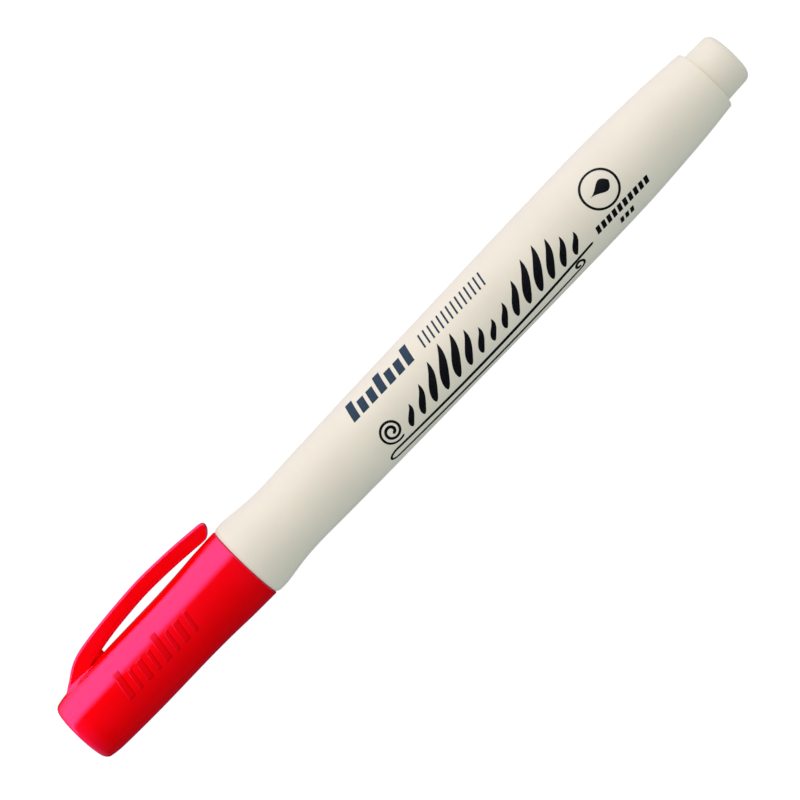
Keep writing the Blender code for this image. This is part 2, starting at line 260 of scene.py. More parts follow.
def filleted(points, rounding, ring):
    """Rounds each sharp corner of a 2D polyline by the given radius, or less where room is short."""
    result = []
    count = len(points)
    for i, here in enumerate(points):
        if not ring and i in (0, count - 1):
            result.append(here)
            continue
        back = points[i - 1] - here
        ahead = points[(i + 1) % count] - here
        between = back.angle(ahead)
        if math.degrees(math.pi - between) < CORNER_DEG:
            result.append(here)
            continue
        room = 0.45 * min(back.length, ahead.length)
        reach = min(rounding / math.tan(between / 2), room)
        start = here + back.normalized() * reach
        end = here + ahead.normalized() * reach
        steps = max(2, round(math.degrees(math.pi - between) / ARC_STEP_DEG))
        for k in range(steps + 1):
            t = k / steps
            result.append(start * (1 - t) ** 2 + here * (2 * t * (1 - t)) + end * t**2)
    return result


def refined(outline, rounding, spacing=SPACING):
    """A fine outline: runs with gentle turns become smooth curves, and sharp corners small rounds.

    A slight turn between a long and a short stretch counts as a corner too, so that flats stay flat.
    """
    points = [Vector(point) for point in outline]
    ring = outline[0][1] > TINY
    if ring:
        points.append(points[0])
    corners = [0]
    for i in range(1, len(points) - 1):
        back = points[i] - points[i - 1]
        ahead = points[i + 1] - points[i]
        turn = math.degrees(back.angle(ahead))
        uneven = max(back.length, ahead.length) > 4 * min(back.length, ahead.length)
        if turn >= CORNER_DEG or (uneven and turn > 3):
            corners.append(i)
    corners.append(len(points) - 1)
    fine = []
    for first, last in zip(corners, corners[1:]):
        fine += hermite(points[first : last + 1], spacing)[:-1]
    if not ring:
        fine.append(points[-1])
    return [tuple(point) for point in filleted(fine, rounding, ring)]


def outer_radius(outline):
    """A function of x giving the outer radius of an outline, from its longest run that goes one way."""
    widest = max(range(len(outline)), key=lambda i: outline[i][1])
    first = last = widest
    way = 1 if outline[widest][0] > outline[widest - 1][0] else -1
    while first > 0 and way * (outline[first][0] - outline[first - 1][0]) > TINY:
        first -= 1
    while last < len(outline) - 1 and way * (outline[last + 1][0] - outline[last][0]) > TINY:
        last += 1
    xs, rs = zip(*sorted(outline[first : last + 1]))
    return lambda x: float(np.interp(x, xs, rs))


# ---------------------------------------------------------------- meshes


def piece(name, verts, faces, material, slot, sharp_deg=SHARP_DEG):
    """Makes an object from points in millimetres, smooth except along edges sharper than sharp_deg."""
    mesh = bpy.data.meshes.new(name)
    mesh.from_pydata([Vector(vert) * MM for vert in verts], [], faces)
    bm = bmesh.new()
    bm.from_mesh(mesh)
    bmesh.ops.recalc_face_normals(bm, faces=bm.faces)
    bm.to_mesh(mesh)
    bm.free()
    mesh.materials.append(material)
    mesh.shade_smooth()
    mesh.set_sharp_from_angle(angle=math.radians(sharp_deg))
    obj = bpy.data.objects.new(name, mesh)
    bpy.context.scene.collection.objects.link(obj)
    return obj


def turned(outline, segments=SEGMENTS, flutes=0, flute_depth=0.0):
    """Points and faces of a surface of revolution, closed on the axis or into a ring, fluted if asked."""
    verts, faces, rings = [], [], []
    for x, r in outline:
        if r < TINY:
            rings.append([len(verts)] * segments)
            verts.append((x, 0.0, 0.0))
            continue
        rings.append(range(len(verts), len(verts) + segments))
        for k in range(segments):
            angle = math.tau * k / segments
            fluted = r - flute_depth * (1 - abs(math.cos(flutes * angle / 2)))
            verts.append((x, fluted * math.cos(angle), fluted * math.sin(angle)))
    pairs = list(zip(rings, rings[1:]))
    if outline[0][1] > TINY:
        pairs.append((rings[-1], rings[0]))
    for a, b in pairs:
        for k in range(segments):
            n = (k + 1) % segments
            faces.append(tuple(dict.fromkeys([a[k], b[k], b[n], a[n]])))
    return verts, faces


def rounded_section(top, bottom, half_width, upper, lower, steps=6):
    """A ring of points: a rectangle standing from bottom to top in the mid plane, with round corners."""
    span = top - bottom
    height = span.length
    up = span / height
    upper = min(upper, 0.45 * height)
    lower = min(lower, 0.45 * height)
    ring = []
    for corner in range(4):
        radius = upper if corner in (0, 3) else lower
        level_at = height - radius if corner in (0, 3) else radius
        side_at = (half_width - radius) * (1 if corner < 2 else -1)
        for k in range(steps + 1):
            angle = math.pi / 2 * (1 - corner - k / steps)
            x, y = bottom + up * (level_at + radius * math.sin(angle))
            ring.append((x, y, side_at + radius * math.cos(angle)))
    return ring


def lofted(rings):
    """Points and faces of a closed skin through rings of equal count, with flat ends."""
    count = len(rings[0])
    verts = [point for ring in rings for point in ring]
    faces = [tuple(range(count)), tuple(range(len(verts) - count, len(verts)))]
    for i in range(len(rings) - 1):
        for k in range(count):
            n = (k + 1) % count
            faces.append((i * count + k, i * count + n, (i + 1) * count + n, (i + 1) * count + k))
    return verts, faces


def resampled(path, count):
    """Points evenly spaced along a polyline."""
    travelled = [0.0]
    for a, b in zip(path, path[1:]):
        travelled.append(travelled[-1] + (b - a).length)
    stops = np.linspace(0, travelled[-1], count)
    xs = np.interp(stops, travelled, [point.x for point in path])
    ys = np.interp(stops, travelled, [point.y for point in path])
    return [Vector((float(x), float(y))) for x, y in zip(xs, ys)]


def merged(parts):
    """Joins (points, faces) pairs into one."""
    verts, faces = [], []
    for some_verts, some_faces in parts:
        start = len(verts)
        verts += some_verts
        faces += [tuple(start + index for index in face) for face in some_faces]
    return verts, faces


def carve(obj, helper_parts, operation):
    """Cuts or adds closed helper shapes, then makes the result the object's own mesh."""
    mesh = bpy.data.meshes.new("helper")
    verts, faces = merged(helper_parts)
    mesh.from_pydata([Vector(vert) * MM for vert in verts], [], faces)
    bm = bmesh.new()
    bm.from_mesh(mesh)
    bmesh.ops.recalc_face_normals(bm, faces=bm.faces)
    bm.to_mesh(mesh)
    bm.free()
    helper = bpy.data.objects.new("helper", mesh)
    bpy.context.scene.collection.objects.link(helper)
    boolean = obj.modifiers.new("carve", "BOOLEAN")
    boolean.operation = operation
    boolean.solver = "EXACT"
    boolean.object = helper
    graph = bpy.context.evaluated_depsgraph_get()
    done = bpy.data.meshes.new_from_object(obj.evaluated_get(graph), depsgraph=graph)
    obj.modifiers.clear()
    obj.data = done
    bpy.data.objects.remove(helper)
    bm = bmesh.new()
    bm.from_mesh(done)
    bmesh.ops.remove_doubles(bm, verts=bm.verts, dist=WELD)
    bmesh.ops.holes_fill(bm, edges=[edge for edge in bm.edges if edge.is_boundary])
    bm.to_mesh(done)
    bm.free()
    done.shade_smooth()
    done.set_sharp_from_angle(angle=math.radians(SHARP_DEG))


def even_out(obj):
    """Keeps broad faces flat-looking beside small rounds."""
    weighted = obj.modifiers.new("even_out", "WEIGHTED_NORMAL")
    weighted.keep_sharp = True
    weighted.weight = 100


# ---------------------------------------------------------------- marks on the round surfaces


def sheet(grid, lifts, radius_at, sink, closed=False):
    """A thin closed solid lying on a round surface.

    grid holds rows of (x, v) places, v being the arc length from the top line towards the clip, and
    lifts the height of each place. A closed sheet joins its last row to its first.
    """
    rows, columns = len(grid), len(grid[0])
    top, low = [], []
    for row, heights in zip(grid, lifts):
        for (x, v), height in zip(row, heights):
            r = radius_at(x)
            across, up = math.sin(v / r), math.cos(v / r)
            top.append((x, (r + height) * across, (r + height) * up))
            low.append((x, (r - sink) * across, (r - sink) * up))
    under = rows * columns
    faces = []
    for i in range(rows if closed else rows - 1):
        a, b = i * columns, (i + 1) % rows * columns
        for j in range(columns - 1):
            faces.append((a + j, b + j, b + j + 1, a + j + 1))
            faces.append((under + a + j, under + a + j + 1, under + b + j + 1, under + b + j))
        for j, flip in ((0, False), (columns - 1, True)):
            side = (a + j, under + a + j, under + b + j, b + j)
            faces.append(side[::-1] if flip else side)
    if not closed:
        for start, flip in ((0, True), ((rows - 1) * columns, False)):
            for j in range(columns - 1):
                end = (start + j, start + j + 1, under + start + j + 1, under + start + j)
                faces.append(end[::-1] if flip else end)
    return top + low, faces


def level(grid, height):
    """The same height at every place of a grid."""
    return [[height] * len(row) for row in grid]


def stroke(path, widths, columns=5, closed=False):
    """A grid along a path of (x, v) points, as wide as widths says at each."""
    grid = []
    count = len(path)
    for k, (here, width) in enumerate(zip(path, widths)):
        before = path[(k - 1) % count] if closed else path[max(k - 1, 0)]
        after = path[(k + 1) % count] if closed else path[min(k + 1, count - 1)]
        along = (after - before).normalized()
        across = Vector((-along.y, along.x))
        grid.append([here + across * width * (j / (columns - 1) - 0.5) for j in range(columns)])
    return grid


def round_ends(path, widths, least=0.05):
    """Narrows a stroke to rounded ends."""
    travelled = [0.0]
    for a, b in zip(path, path[1:]):
        travelled.append(travelled[-1] + (b - a).length)
    shaped = []
    for s, width in zip(travelled, widths):
        room = min(s, travelled[-1] - s) / (width / 2)
        shaped.append(max(least, width * math.sqrt(1 - (1 - min(room, 1)) ** 2)))
    return shaped


def slanted_bar(x, width, v_low, v_high, slant, rows=24, columns=5):
    """A grid for a bar that stands at x on v_low and leans by slant."""
    across = [width * (j / (columns - 1) - 0.5) for j in range(columns)]
    grid = []
    for k in range(rows + 1):
        rise = (v_high - v_low) * k / rows
        grid.append([Vector((x + slant * rise + aside, v_low + rise)) for aside in across])
    return grid


# ---------------------------------------------------------------- materials


def new_material(name):
    """An empty Principled material and its node tree."""
    material = bpy.data.materials.new(name)
    material.use_nodes = True
    return material, material.node_tree, material.node_tree.nodes["Principled BSDF"]


def add(tree, kind, inputs=None, **settings):
    """Adds a node, with settings as its properties and inputs by socket name or number."""
    node = tree.nodes.new(kind)
    for key, value in settings.items():
        setattr(node, key, value)
    for key, value in (inputs or {}).items():
        connect(tree, value, node.inputs[key])
    return node


def connect(tree, value, socket):
    """Links an output to a socket, or sets the socket's own value."""
    if isinstance(value, bpy.types.NodeSocket):
        tree.links.new(value, socket)
    else:
        socket.default_value = value


def noise(tree, scale, detail=3.0, roughness=0.5, stretch=(1, 1, 1)):
    """Noise fixed to the object, with scale in cells per metre before stretching."""
    place = add(tree, "ShaderNodeTexCoord").outputs["Object"]
    mapped = add(tree, "ShaderNodeMapping", {"Vector": place, "Scale": stretch}).outputs["Vector"]
    made = add(
        tree,
        "ShaderNodeTexNoise",
        {"Vector": mapped, "Scale": scale, "Detail": detail, "Roughness": roughness},
    )
    return made.outputs["Fac"]


def ranged(tree, value, low, high, to_low, to_high):
    """Maps a value from one range to another, held at the ends."""
    mapped = add(
        tree,
        "ShaderNodeMapRange",
        {"Value": value, "From Min": low, "From Max": high, "To Min": to_low, "To Max": to_high},
    )
    return mapped.outputs["Result"]


def mixed(tree, factor, first, second, mode="MIX"):
    """A colour between two colours."""
    node = add(tree, "ShaderNodeMix", data_type="RGBA", blend_type=mode)
    for socket, value in zip((node.inputs[0], node.inputs[6], node.inputs[7]), (factor, first, second)):
        connect(tree, value, socket)
    return node.outputs[2]


def bumped(tree, height, distance, strength, under=None):
    """A bump from a height, on top of another bump if given."""
    inputs = {"Height": height, "Distance": distance, "Strength": strength}
    if under:
        inputs["Normal"] = under
    return add(tree, "ShaderNodeBump", inputs).outputs["Normal"]


def math_node(tree, operation, first, second):
    """The result of a sum, product or angle of two values."""
    return add(tree, "ShaderNodeMath", {0: first, 1: second}, operation=operation).outputs[0]


def colour(r, g, b):
    """An opaque colour."""
    return (r, g, b, 1.0)


def moulded(name, base, roughness, specular, tint=(1, 1, 1), mottle=0.05, grain=0.3, inside=0.0):
    """Injection-moulded plastic: cloudy pigment, fine grain, faint scuffs and paler worn edges."""
    material, tree, shader = new_material(name)
    deep = colour(*(channel * (1 - mottle) for channel in base))
    pale = colour(*(min(1, channel * (1 + mottle / 2)) for channel in base))
    cloud = ranged(tree, noise(tree, 140, detail=4), 0.3, 0.7, 0, 1)
    body = mixed(tree, cloud, deep, pale)
    edge = add(tree, "ShaderNodeNewGeometry").outputs["Pointiness"]
    worn = ranged(tree, edge, 0.56, 0.68, 0, 0.12)
    worn_colour = colour(*(min(1, channel * 0.92 + 0.08) for channel in base))
    connect(tree, mixed(tree, worn, body, worn_colour), shader.inputs["Base Color"])
    smudge = noise(tree, 90, detail=5, roughness=0.6)
    scuffs = noise(tree, 2600, detail=2, stretch=(0.05, 1, 1))
    handled = math_node(tree, "ADD", ranged(tree, smudge, 0.3, 0.7, -0.03, 0.04), roughness)
    scuffed = math_node(tree, "ADD", handled, ranged(tree, scuffs, 0.6, 0.8, 0, 0.03))
    connect(tree, scuffed, shader.inputs["Roughness"])
    texture = bumped(tree, noise(tree, 9000, detail=2), 0.00002, grain)
    connect(tree, bumped(tree, noise(tree, 60, detail=1), 0.00004, 0.35, texture), shader.inputs["Normal"])
    shader.inputs["Specular IOR Level"].default_value = specular
    shader.inputs["Specular Tint"].default_value = colour(*tint)
    if inside:
        shader.inputs["Subsurface Weight"].default_value = inside
        shader.inputs["Subsurface Radius"].default_value = (1.0, 0.7, 0.5)
        shader.inputs["Subsurface Scale"].default_value = 0.0006
    return material


def printed(name, base):
    """Pad-printed ink: thin, slightly glossy and a little uneven."""
    material, tree, shader = new_material(name)
    patchy = ranged(tree, noise(tree, 1800, detail=4), 0.35, 0.75, 0, 1)
    paler = colour(*(channel * 1.15 + 0.003 for channel in base))
    connect(tree, mixed(tree, patchy, colour(*base), paler), shader.inputs["Base Color"])
    connect(tree, ranged(tree, noise(tree, 3000), 0.3, 0.7, 0.5, 0.65), shader.inputs["Roughness"])
    connect(tree, bumped(tree, noise(tree, 6000), 0.00001, 0.4), shader.inputs["Normal"])
    shader.inputs["Specular IOR Level"].default_value = 0.18
    return material


def fibrous(name, base, pale, roughness, strand=0.0):
    """Fibres that run along the pen, soaked unevenly with ink."""
    material, tree, shader = new_material(name)
    strands = noise(tree, 9000, detail=3, stretch=(0.02, 1, 1))
    soak = noise(tree, 260, detail=4)
    wet = ranged(tree, soak, 0.3, 0.7, 0, 0.5)
    streak = ranged(tree, strands, 0.35, 0.65, 0, 1)
    share = math_node(tree, "MULTIPLY", wet, streak)
    connect(tree, mixed(tree, share, colour(*base), colour(*pale)), shader.inputs["Base Color"])
    connect(tree, ranged(tree, streak, 0, 1, roughness, roughness + 0.2), shader.inputs["Roughness"])
    connect(tree, bumped(tree, strands, 0.00005, 0.5), shader.inputs["Normal"])
    shader.inputs["Sheen Weight"].default_value = strand
    shader.inputs["Specular IOR Level"].default_value = 0.8
    return material


def clear_film():
    """Clear wrapped film with soft wrinkles along its length."""
    material, tree, shader = new_material("clear_film")
    folds = noise(tree, 700, detail=3, stretch=(0.1, 1, 1))
    tone = mixed(tree, ranged(tree, folds, 0.3, 0.7, 0, 1), colour(0.85, 0.9, 0.95), colour(0.95, 0.97, 1))
    connect(tree, tone, shader.inputs["Base Color"])
    connect(tree, ranged(tree, folds, 0.3, 0.7, 0.08, 0.2), shader.inputs["Roughness"])
    connect(tree, bumped(tree, folds, 0.0001, 0.5), shader.inputs["Normal"])
    shader.inputs["Alpha"].default_value = 0.35
    return material


# ---------------------------------------------------------------- barrel group


def barrel(material):
    """The barrel, with its flange drawn up to the cap and a crisp rear rim. Returns its outer radius."""
    flange_radius, neck_radius, rim_radius = 5.5, 4.0, 5.0
    solid = meridian("barrel")
    flange = min(x for x, r in solid if r > flange_radius)
    rim = max(x for x, _ in solid)
    outline = []
    for x, r in solid:
        if abs(x - flange) < 0.2 and r > neck_radius:
            x -= FLANGE_REACH
        if x > rim - 0.1 and r > rim_radius:
            r += RIM_CRISP
        outline.append((x, r))
    outline = refined(outline, rounding=0.25)
    obj = piece("barrel_moulding", *turned(outline), material, "barrel_cream")
    even_out(obj)
    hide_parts("barrel")
    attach(obj, "pen_body")
    return outer_radius(outline)


def rear_plug(material):
    """The stepped plug in the barrel's rear."""
    outline = refined(meridian("rear_plug"), rounding=0.12, spacing=0.4)
    obj = piece("plug_moulding", *turned(outline), material, "barrel_cream")
    even_out(obj)
    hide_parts("rear_plug")
    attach(obj, "pen_body")


def holder(material):
    """The front section that holds the brush."""
    outline = refined(meridian("front_section"), rounding=0.12, spacing=0.4)
    obj = piece("holder_moulding", *turned(outline), material, "barrel_cream")
    even_out(obj)
    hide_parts("front_section")
    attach(obj, "pen_body")


def fibre_bundle(name, node, material, slot, flutes, depth):
    """A bundle of fibres: the node's outline with its skin fluted into strands."""
    outline = refined(meridian(node), rounding=0.15, spacing=4.0)
    obj = piece(name, *turned(outline, 6 * flutes, flutes, depth), material, slot, sharp_deg=60)
    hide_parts(node)
    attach(obj, "pen_body")


def hair(points, radii, sides=6):
    """A tapered fibre, closed at both ends, through points that run mostly along X."""
    verts, faces = [], []
    for (x, y, z), radius in zip(points, radii):
        for k in range(sides):
            angle = math.tau * k / sides
            verts.append((x, y + radius * math.cos(angle), z + radius * math.sin(angle)))
    for i in range(len(points) - 1):
        for k in range(sides):
            n = (k + 1) % sides
            faces.append((i * sides + k, i * sides + n, (i + 1) * sides + n, (i + 1) * sides + k))
    last = (len(points) - 1) * sides
    faces.append(tuple(range(sides)))
    faces.append(tuple(range(last + sides - 1, last - 1, -1)))
    return verts, faces


def brush(material):
    """The brush tip: layers of fine bristles over a core, gathered to a point."""
    low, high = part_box("brush_tip")
    point, root = low.x / MM, high.x / MM
    belly_radius = high.y / MM
    rng = random.Random(7)
    length = root - point
    # Along the brush from its point: shares of its length, and its radius as a share of the belly's
    shares = (0.0, 0.08, 0.2, 0.38, 0.58, 0.75, 0.84, 1.0)
    sizes = (0.07, 0.3, 0.56, 0.86, 1.0, 0.94, 0.87, 0.85)

    def envelope(share):
        return belly_radius * float(np.interp(share, shares, sizes))

    core_start, core_inset = 0.16, 0.16
    core = []
    for k in range(25):
        x = point + length * (core_start + (1 - core_start) * k / 24)
        core.append((x, max(0.03, envelope((x - point) / length) - core_inset)))
    parts = [turned([(core[0][0], 0.0), *core, (core[-1][0], 0.0)], segments=48)]
    # Layers of bristles: how far each lies inside the envelope, and how many it has
    for inset, count in ((0.08, 84), (0.2, 66), (0.75, 18)):
        for k in range(count):
            angle = math.tau * (k + rng.uniform(-0.25, 0.25)) / count
            start = abs(rng.gauss(0, 0.035)) + (0.02 if inset < 0.5 else 0.0)
            thick = 0.085 * rng.uniform(0.85, 1.1)
            drift = rng.uniform(-0.05, 0.05)
            points, radii = [], []
            for i in range(17):
                share = start + (1 - start) * (i / 16) ** 1.4
                gathered = min(1, envelope(share) / belly_radius + 0.15)
                spread = max(0.0, envelope(share) - inset * gathered)
                turn = angle + drift * (1 - share)
                points.append((point + length * share, spread * math.cos(turn), spread * math.sin(turn)))
                radii.append(thick * (0.35 + 0.65 * min(1, (share - start) / 0.3)))
            parts.append(hair(points, radii))
    obj = piece("brush_bristles", *merged(parts), material, "brush_fibre", sharp_deg=70)
    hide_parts("brush_tip")
    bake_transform(obj)


# ---------------------------------------------------------------- cap group


def cap(material):
    """Cap moulding: fine outer skin, snap bead, liner ribs, and vents through the end wall.

    Returns the object and the skin's outer radius as a function of x.
    """
    solid = meridian("cap_shell")
    rim = max(x for x, _ in solid)
    outline = refined([(x + RIM_REACH if rim - x < 0.2 else x, r) for x, r in solid], rounding=0.12)
    obj = piece("cap_moulding", *turned(outline), material, "cap_red")
    carve(obj, [vent(60 + 120 * k) for k in range(3)], "DIFFERENCE")
    carve(obj, [liner_rib(30 + 60 * k) for k in range(6)], "UNION")
    even_out(obj)
    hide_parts("cap_shell")
    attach(obj, "cap")
    return obj, outer_radius(outline)


def arc(centre, radius, start, sweep, steps, skip_ends=False):
    """Points (y, z) along an arc round a centre."""
    chosen = range(1, steps) if skip_ends else range(steps + 1)
    points = []
    for k in chosen:
        angle = start + sweep * k / steps
        points.append((centre[0] + radius * math.cos(angle), centre[1] + radius * math.sin(angle)))
    return points


def vent(middle_deg, mid_radius=3.05, half_width=0.35, sweep_deg=70):
    """A kidney-shaped cutter with round ends, through the end wall."""
    sweep = math.radians(sweep_deg)
    start = math.radians(middle_deg) - sweep / 2
    end = start + sweep
    before_wall, past_wall = -0.5, 2.2

    def on_middle(angle):
        return mid_radius * math.cos(angle), mid_radius * math.sin(angle)

    ring = [
        *arc((0, 0), mid_radius + half_width, start, sweep, 16),
        *arc(on_middle(end), half_width, end, math.pi, 8, skip_ends=True),
        *arc((0, 0), mid_radius - half_width, end, -sweep, 16),
        *arc(on_middle(start), half_width, start + math.pi, math.pi, 8, skip_ends=True),
    ]
    count = len(ring)
    verts = [(x, y, z) for x in (before_wall, past_wall) for y, z in ring]
    faces = [tuple(range(count)), tuple(range(2 * count - 1, count - 1, -1))]
    faces += [(k, (k + 1) % count, count + (k + 1) % count, count + k) for k in range(count)]
    return verts, faces


def liner_rib(turn_deg, width=0.7):
    """A rib inside the cap that grips the inner cap, from the end wall to short of the liner's mouth."""
    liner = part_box("inner_cap")[1]
    low, high = liner.y / MM + 0.05, liner.y / MM + 0.9
    corners = [(low, -width / 2), (high, -width / 2), (high, width / 2), (low, width / 2)]
    cosine, sine = math.cos(math.radians(turn_deg)), math.sin(math.radians(turn_deg))
    verts = []
    for x in (1.1, liner.x / MM - 3):
        verts += [(x, out * cosine - side * sine, out * sine + side * cosine) for out, side in corners]
    faces = [(0, 1, 2, 3), (7, 6, 5, 4)] + [(k, (k + 1) % 4, 4 + (k + 1) % 4, 4 + k) for k in range(4)]
    return verts, faces


def inner_cap(material):
    """The liner that seals on the front section."""
    outline = refined(meridian("inner_cap"), rounding=0.15, spacing=0.8)
    obj = piece("liner_moulding", *turned(outline), material, "natural_plastic")
    even_out(obj)
    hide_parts("inner_cap")
    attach(obj, "cap_liner")


def solid_tree(node):
    """A search tree over a CAD node's faces."""
    mesh = frame["nodes"][node].data
    faces = [tuple(face.vertices) for face in mesh.polygons]
    return BVHTree.FromPolygons([vert.co for vert in mesh.vertices], faces)


def first_hit(trees, x, y, toward):
    """The y of the first surface met in the pen's mid plane from (x, y), looking up or down Y."""
    hits = [tree.ray_cast(Vector((x, y, 0)) * MM, Vector((0, toward, 0))) for tree in trees]
    found = [place.y / MM for place, _, _, _ in hits if place]
    return max(found) if toward < 0 else min(found)


def clip(material, cap_radius):
    """The clip as one smooth blade, and the web and fillets that stay on the cap."""
    low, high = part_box("clip")
    pivot = next(joint for joint in frame["joints"] if joint["name"] == "clip_flex")["pos_m"]
    pivot_x, tip_x, width = pivot[0] / MM, high.x / MM, (high.z - low.z) / MM
    outer, inner, nose, middle = clip_lines(cap_radius, tip_x)

    buried = cap_radius(6) - 0.85
    rise = [(1.8, buried + 0.3), (2.5, cap_radius(2.5) - 0.22), (3.1, cap_radius(3.1) + 0.05), *outer]
    under = [(7.2, cap_radius(7.2) - 0.2), *inner]
    foot = [Vector((2.1, buried)), Vector((6.6, buried))]
    topside, underside = hermite(rise, 0.3), hermite(under, 0.3)
    upper_path = resampled([*topside[:-1], *nose[: middle + 1]], CLIP_STATIONS)
    lower_path = resampled([*foot, *underside[:-1], *reversed(nose[middle:])], CLIP_STATIONS)
    rings = []
    for above, below in zip(upper_path[:-1], lower_path[:-1]):
        near_tip = min(1.0, max(0.0, (below.x - tip_x + 5) / 3))
        out_of_cap = min(1.0, max(0.3, (below.x - 6.8) / 3))
        lower = CLIP_UNDER_EDGE * out_of_cap * (1 - 0.5 * near_tip)
        narrowing = 0.3 * (1 - min(1.0, (above - below).length / 0.7)) ** 2
        rings.append(rounded_section(above, below, width / 2 - narrowing, CLIP_EDGE, lower))
    blade = piece("clip_moulding", *lofted(rings), material, "cap_red")
    even_out(blade)
    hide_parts("clip")
    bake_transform(blade)

    parts = [
        web(cap_radius, along_x(underside), width, pivot_x - 0.4),
        *(root_fillet(cap_radius, along_x(topside), width, mirrored) for mirrored in (False, True)),
    ]
    root = piece("clip_web", *merged(parts), material, "cap_red")
    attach(root, "cap")
    return [blade, root]


def clip_lines(cap_radius, tip_x):
    """The blade's outer and inner lines in the pen's mid plane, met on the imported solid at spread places.

    Also the rounded nose between their ends, and the index of its foremost point.
    """
    blade, shell = solid_tree("clip"), solid_tree("cap_shell")
    outer_xs = (3.8, 4.6, 5.8, 7.0, 8.6, 10.2, 12.6, 15.3, 18.8, 22.4, 26, 29.6, 32.2, tip_x - 1.1)
    inner_xs = (12.6, 14.1, 17.7, 21.4, 25, 28.4, 31, tip_x - 2.3)
    outer = [(x, first_hit([blade, shell], x, 20, -1)) for x in outer_xs]
    inner = [(x, first_hit([blade], x, cap_radius(x) + 0.02, 1)) for x in inner_xs]
    top, bottom = outer[-1][1], inner[-1][1]
    foremost = (tip_x - 0.18, top - 1.15)
    tip = [
        outer[-1],
        (tip_x - 0.4, top - 0.12),
        (tip_x - 0.02, top - 0.5),
        foremost,
        (tip_x - 0.75, bottom + 0.45),
        (tip_x - 1.5, bottom + 0.02),
        inner[-1],
    ]
    nose = hermite(tip, 0.16)
    middle = min(range(len(nose)), key=lambda i: (nose[i] - Vector(foremost)).length)
    return outer, inner, nose, middle


def along_x(curve):
    """A function of x giving the y of a curve."""
    xs, ys = [point.x for point in curve], [point.y for point in curve]
    return lambda x: float(np.interp(x, xs, ys))


def web(cap_radius, underside, width, end, start=6.4, stations=22, rows=9):
    """The web that carries the blade's root: as wide as the blade above, rolling in to a narrow foot."""
    rings = []
    for i in range(stations + 1):
        share = math.sin(math.pi / 2 * i / stations)
        x = start + (end - start) * share
        taper = max(0.02, math.sqrt(1 - share**6))
        low = cap_radius(x) - 0.35
        high = max(underside(x) + 0.3, cap_radius(x) + 0.1)
        half = []
        for j in range(rows + 1):
            rise = j / rows
            half.append((low + (high - low) * rise, taper * (0.3 + (width / 2 - 0.65) * rise**1.5)))
        rings.append([(x, y, z) for y, z in half] + [(x, y, -z) for y, z in reversed(half)])
    return lofted(rings)


def root_fillet(cap_radius, topside, width, mirrored, start=2.7, end=8.8, rows=36, columns=10):
    """A concave fillet where one side of the clip's root meets the cap, fading out at both ends."""
    # How far the fillet reaches round the cap, how high it climbs, and how deep its edges are sunk
    spread, climb, sunk = 1.5, 0.6, 0.01
    grid, lifts = [], []
    for i in range(rows + 1):
        share = i / rows
        x = start + (end - start) * share
        r = cap_radius(x)
        room = max(0.02, 0.6 * (topside(x) - r) + 0.05)
        size = min(1.0, (1 - share) / 0.8, room / climb)
        foot = r * math.acos(width / 2 / r)
        line, heights = [], []
        for j in range(columns + 1):
            out = 1 - j / columns
            v = foot - size * spread * out
            line.append(Vector((x, math.pi * r - v if mirrored else v)))
            heights.append(size * climb * (1 - math.sqrt(max(0.0, 1 - (1 - out) ** 2))) - sunk)
        line.append(line[-1] + Vector((0, -0.4 if mirrored else 0.4)))
        heights.append(heights[-1])
        grid.append(line)
        lifts.append(heights)
    return sheet(grid, lifts, cap_radius, 0.1)


# ---------------------------------------------------------------- printed and raised marks


def add_print(name, grids, radius_at, material, closed=()):
    """Lays open and closed grids on the barrel as one piece of thin ink."""
    parts = [sheet(grid, level(grid, PRINT_LIFT), radius_at, PRINT_SINK) for grid in grids]
    parts += [sheet(grid, level(grid, PRINT_LIFT), radius_at, PRINT_SINK, closed=True) for grid in closed]
    obj = piece(name, *merged(parts), material, "barrel_cream", sharp_deg=50)
    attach(obj, "pen_body")


def bar_row(radius_at, ink):
    """Upper row: bold slanted bars, every third one taller, then fine ones."""
    slant = 0.2
    bars = []
    for k in range(7):
        top = 6.1 if k % 3 == 0 else 5.0
        bars.append(slanted_bar(62.4 + 1.92 * k, 1.3, 2.6, top, slant))
    for k in range(14):
        bars.append(slanted_bar(77.0 + 0.98 * k, 0.3, 2.7, 5.3, slant, columns=3))
    add_print("print_bars", bars, radius_at, ink)


def spiral(centre, turns_deg, first_deg, inner, outer, steps):
    """Points on a spiral that opens from the inner to the outer radius and ends at first_deg."""
    points = []
    for k in range(steps):
        share = k / (steps - 1)
        turn = math.radians(first_deg - turns_deg * (1 - share))
        points.append(centre + (inner + (outer - inner) * share) * Vector((math.cos(turn), math.sin(turn))))
    return points


def brush_dabs(radius_at, ink):
    """A row of slanted brush dabs of two swelling heights, after a two-turn spiral."""
    base, slant, first_x, pitch, count = -4.46, 0.58, 67.4, 2.5, 15
    steps = 110
    curl = spiral(Vector((64.6, -2.35)), 760, -60, 0.35, 2.1, steps)
    curl_widths = [0.5 - 0.16 * k / (steps - 1) for k in range(steps)]
    grids = [stroke(curl, round_ends(curl, curl_widths))]
    for k in range(count):
        swell = 0.5 - 0.5 * math.cos(math.tau * 2 * (k + 0.5) / count)
        height = 3.0 + 3.3 * swell
        thickness = 0.95 + 0.45 * swell
        path, widths = [], []
        for i in range(41):
            share = i / 40
            bow = 0.22 * math.sin(math.tau * share)
            path.append(Vector((first_x + pitch * k + slant * height * share - bow, base + height * share)))
            widths.append(max(0.06, thickness * math.sin(math.pi * share**0.72) ** 0.8))
        grids.append(stroke(path, widths))
    add_print("print_dabs", grids, radius_at, ink)


